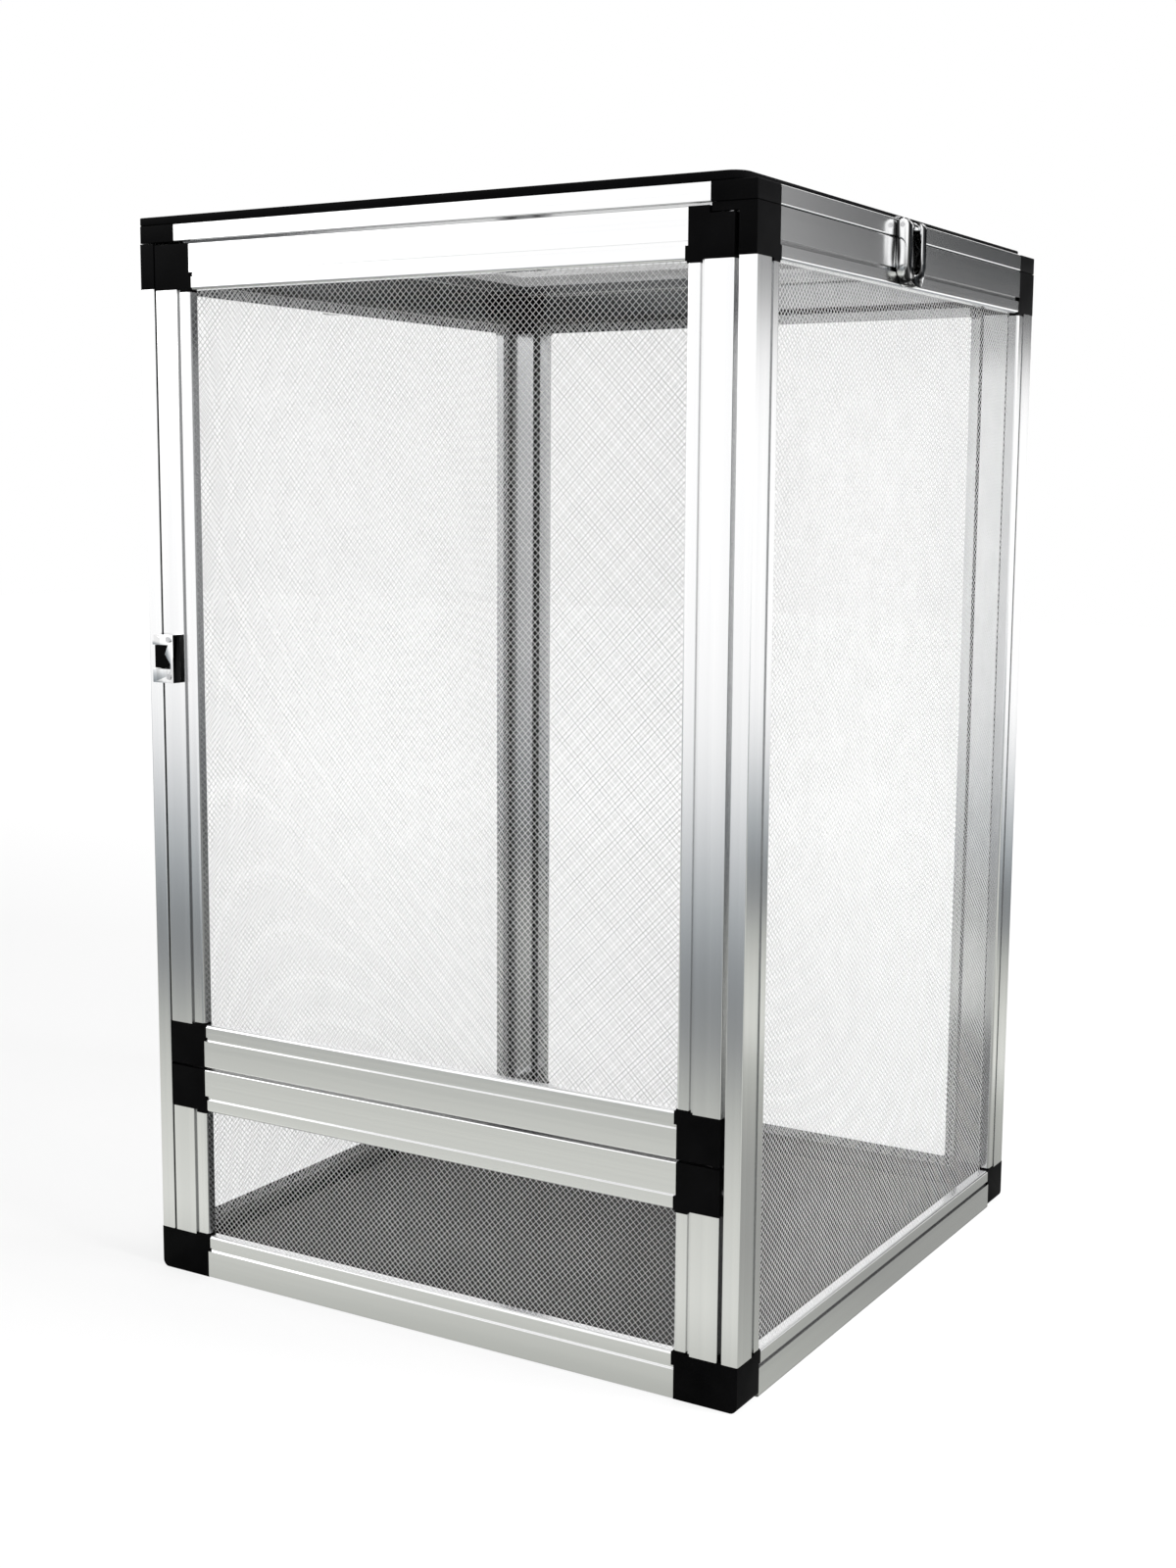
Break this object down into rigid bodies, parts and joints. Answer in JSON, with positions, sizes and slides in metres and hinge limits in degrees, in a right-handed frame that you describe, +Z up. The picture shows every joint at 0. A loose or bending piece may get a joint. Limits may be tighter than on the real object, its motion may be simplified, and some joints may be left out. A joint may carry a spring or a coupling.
{
  "type": "reptile terrarium",
  "caption": "Tall screen terrarium with a pale aluminium frame, black corner fittings, fine mesh on all sides, a hinged front door with a bright latch, and a lift-off lid.",
  "frame": {"origin": "under the middle of the whole object (latch and lid clips counted in), on the plane that the cage stands on", "axes": "+X to the right side as seen from the front, +Y from the door to the back, +Z up through the lid"},
  "size_m": [0.3962, 0.3868, 0.6032],
  "materials": {
    "frame_aluminium": "satin anodised",
    "black_plastic": "fine moulded texture",
    "screen_mesh": "woven wire",
    "spline_rubber": "matte",
    "bright_metal": "plated and polished",
    "pin_steel": "plain",
    "floor_grey": "fine grain"
  },
  "bodies": {
    "cage": {"left_front_post": "frame_aluminium", "left_rear_post": "frame_aluminium", "left_top_rail": "frame_aluminium", "left_bottom_rail": "frame_aluminium", "right_front_post": "frame_aluminium", "right_rear_post": "frame_aluminium", "right_top_rail": "frame_aluminium", "right_bottom_rail": "frame_aluminium", "back_left_stile": "frame_aluminium", "back_right_stile": "frame_aluminium", "back_top_rail": "frame_aluminium", "back_bottom_rail": "frame_aluminium", "lower_left_stile": "frame_aluminium", "lower_right_stile": "frame_aluminium", "lower_top_rail": "frame_aluminium", "lower_bottom_rail": "frame_aluminium", "base_corners": "black_plastic", "post_top_fittings": "black_plastic", "back_top_fittings": "black_plastic", "lower_top_fittings": "black_plastic", "left_screen": "screen_mesh", "right_screen": "screen_mesh", "back_screen": "screen_mesh", "lower_screen": "screen_mesh", "left_spline": "spline_rubber", "right_spline": "spline_rubber", "back_spline": "spline_rubber", "lower_spline": "spline_rubber", "floor_board": "floor_grey", "panel_dowels": "pin_steel", "door_pivot_pins": "pin_steel", "door_pivot_washer": "black_plastic"},
    "door": {"door_left_stile": "frame_aluminium", "door_right_stile": "frame_aluminium", "door_top_rail": "frame_aluminium", "door_bottom_rail": "frame_aluminium", "door_fittings": "black_plastic", "door_screen": "screen_mesh", "door_spline": "spline_rubber", "latch_housing": "bright_metal", "latch_rivets": "pin_steel"},
    "bolt": {"latch_bolt": "black_plastic"},
    "lid": {"lid_left_rail": "frame_aluminium", "lid_right_rail": "frame_aluminium", "lid_front_rail": "frame_aluminium", "lid_rear_rail": "frame_aluminium", "lid_fittings": "black_plastic", "lid_screen": "screen_mesh", "lid_spline": "spline_rubber", "lid_rim": "black_plastic", "right_clip_bracket": "bright_metal", "right_clip_pin": "pin_steel", "left_clip_bracket": "bright_metal", "left_clip_pin": "pin_steel", "clip_rivets": "pin_steel"},
    "clip_right": {"right_clip": "bright_metal"},
    "clip_left": {"left_clip": "bright_metal"}
  },
  "joints": [
    {"name": "door_swing", "type": "hinge", "parent": "cage", "child": "door", "pos_m": [0.1757, -0.18365, 0.3], "axis": [0, 0, 1], "range_deg": [0, 110]},
    {"name": "latch_slide", "type": "slide", "parent": "door", "child": "bolt", "axis": [-1, 0, 0], "range_m": [0, 0.005]},
    {"name": "lid_lift", "type": "slide", "parent": "cage", "child": "lid", "axis": [0, 0, 1], "range_m": [0, 0.15]},
    {"name": "right_clip_swing", "type": "hinge", "parent": "lid", "child": "clip_right", "pos_m": [0.1934, -0.011, 0.5953], "axis": [0, -1, 0], "range_deg": [0, 150]},
    {"name": "left_clip_swing", "type": "hinge", "parent": "lid", "child": "clip_left", "pos_m": [-0.1934, -0.011, 0.5953], "axis": [0, 1, 0], "range_deg": [0, 150]}
  ]
}
